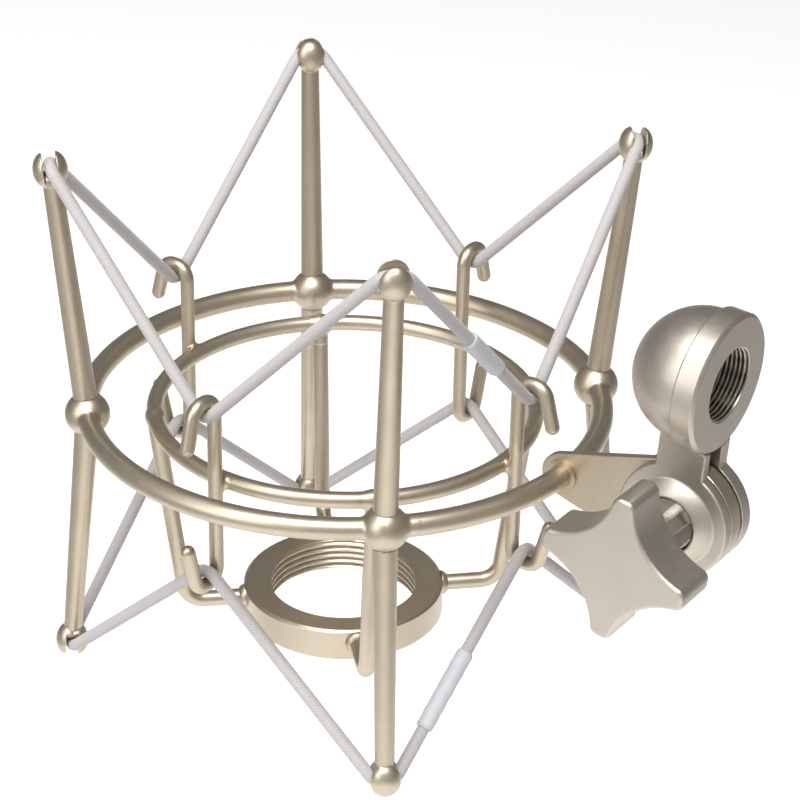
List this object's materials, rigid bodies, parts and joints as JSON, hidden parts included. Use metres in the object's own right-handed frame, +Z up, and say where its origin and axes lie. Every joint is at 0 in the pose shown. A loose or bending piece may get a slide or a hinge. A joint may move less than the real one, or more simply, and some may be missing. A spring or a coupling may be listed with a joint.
{
  "type": "microphone shock mount",
  "caption": "Spider shock mount for a side-address microphone: slotted-post outer frame, elastic-hung cradle with threaded collar, and a clamped swivel to a stand thread.",
  "frame": {"origin": "centre of the threaded collar's top face, where the microphone's shoulder seats", "axes": "+Z up the microphone's axis; +X to the right-hand post; -Y to the front post; the swivel arm points 44 degrees from +X towards -Y"},
  "size_m": [0.1392, 0.1511, 0.1192],
  "materials": {
    "plated_rod": "satin champagne nickel, fine blasted grain",
    "plated_turning": "satin champagne nickel",
    "plated_casting": "satin champagne nickel on a casting",
    "elastic": "braided light grey sheath over rubber",
    "splice_sleeve": "matte white wrap, blank",
    "friction_pad": "matte black",
    "bright_steel": "bright plated steel"
  },
  "bodies": {
    "adapter": {"swivel_yoke": "plated_casting", "stand_thread_bush": "plated_turning", "clamp_nut": "bright_steel"},
    "frame": {"outer_ring": "plated_rod", "front_node_ball": "plated_rod", "right_node_ball": "plated_rod", "back_node_ball": "plated_rod", "left_node_ball": "plated_rod", "upper_post_front": "plated_rod", "lower_post_front": "plated_rod", "upper_post_right": "plated_rod", "lower_post_right": "plated_rod", "upper_post_back": "plated_rod", "lower_post_back": "plated_rod", "upper_post_left": "plated_rod", "lower_post_left": "plated_rod", "swivel_arm": "plated_turning", "spacer_disc": "plated_turning", "friction_washer": "friction_pad", "steel_shim": "bright_steel", "upper_elastic": "elastic", "lower_elastic": "elastic", "upper_splice_sleeve": "splice_sleeve", "lower_splice_sleeve": "splice_sleeve"},
    "cradle": {"inner_ring": "plated_rod", "front_right_hook_wire": "plated_rod", "back_right_hook_wire": "plated_rod", "back_left_hook_wire": "plated_rod", "front_left_hook_wire": "plated_rod", "front_cradle_leg": "plated_rod", "right_cradle_leg": "plated_rod", "back_cradle_leg": "plated_rod", "left_cradle_leg": "plated_rod", "threaded_collar": "plated_turning"},
    "washer": {"pressure_washer": "bright_steel"},
    "knob": {"star_knob": "plated_casting", "clamp_screw": "bright_steel"}
  },
  "joints": [
    {"name": "swivel", "type": "hinge", "parent": "adapter", "child": "frame", "pos_m": [0.05899, -0.05696, 0.045], "axis": [0.6947, 0.7193, 0], "range_deg": [-90, 30]},
    {"name": "suspension", "type": "slide", "parent": "frame", "child": "cradle", "axis": [0, 0, 1], "range_m": [-0.003, 0.006], "stiffness_N_per_m": 1500, "springref_m": 0.0006, "deforming": ["upper_elastic", "lower_elastic", "upper_splice_sleeve", "lower_splice_sleeve"]},
    {"name": "washer_slide", "type": "slide", "parent": "adapter", "child": "washer", "axis": [-0.6947, -0.7193, 0], "range_m": [0, 0.0016]},
    {"name": "knob_turn", "type": "hinge", "parent": "washer", "child": "knob", "pos_m": [0.05899, -0.05696, 0.045], "axis": [-0.6947, -0.7193, 0], "range_deg": [0, 720]}
  ],
  "couplings": [
    {"joint": "knob_turn", "follows": "washer_slide", "rad_per_m": 7853.9}
  ]
}
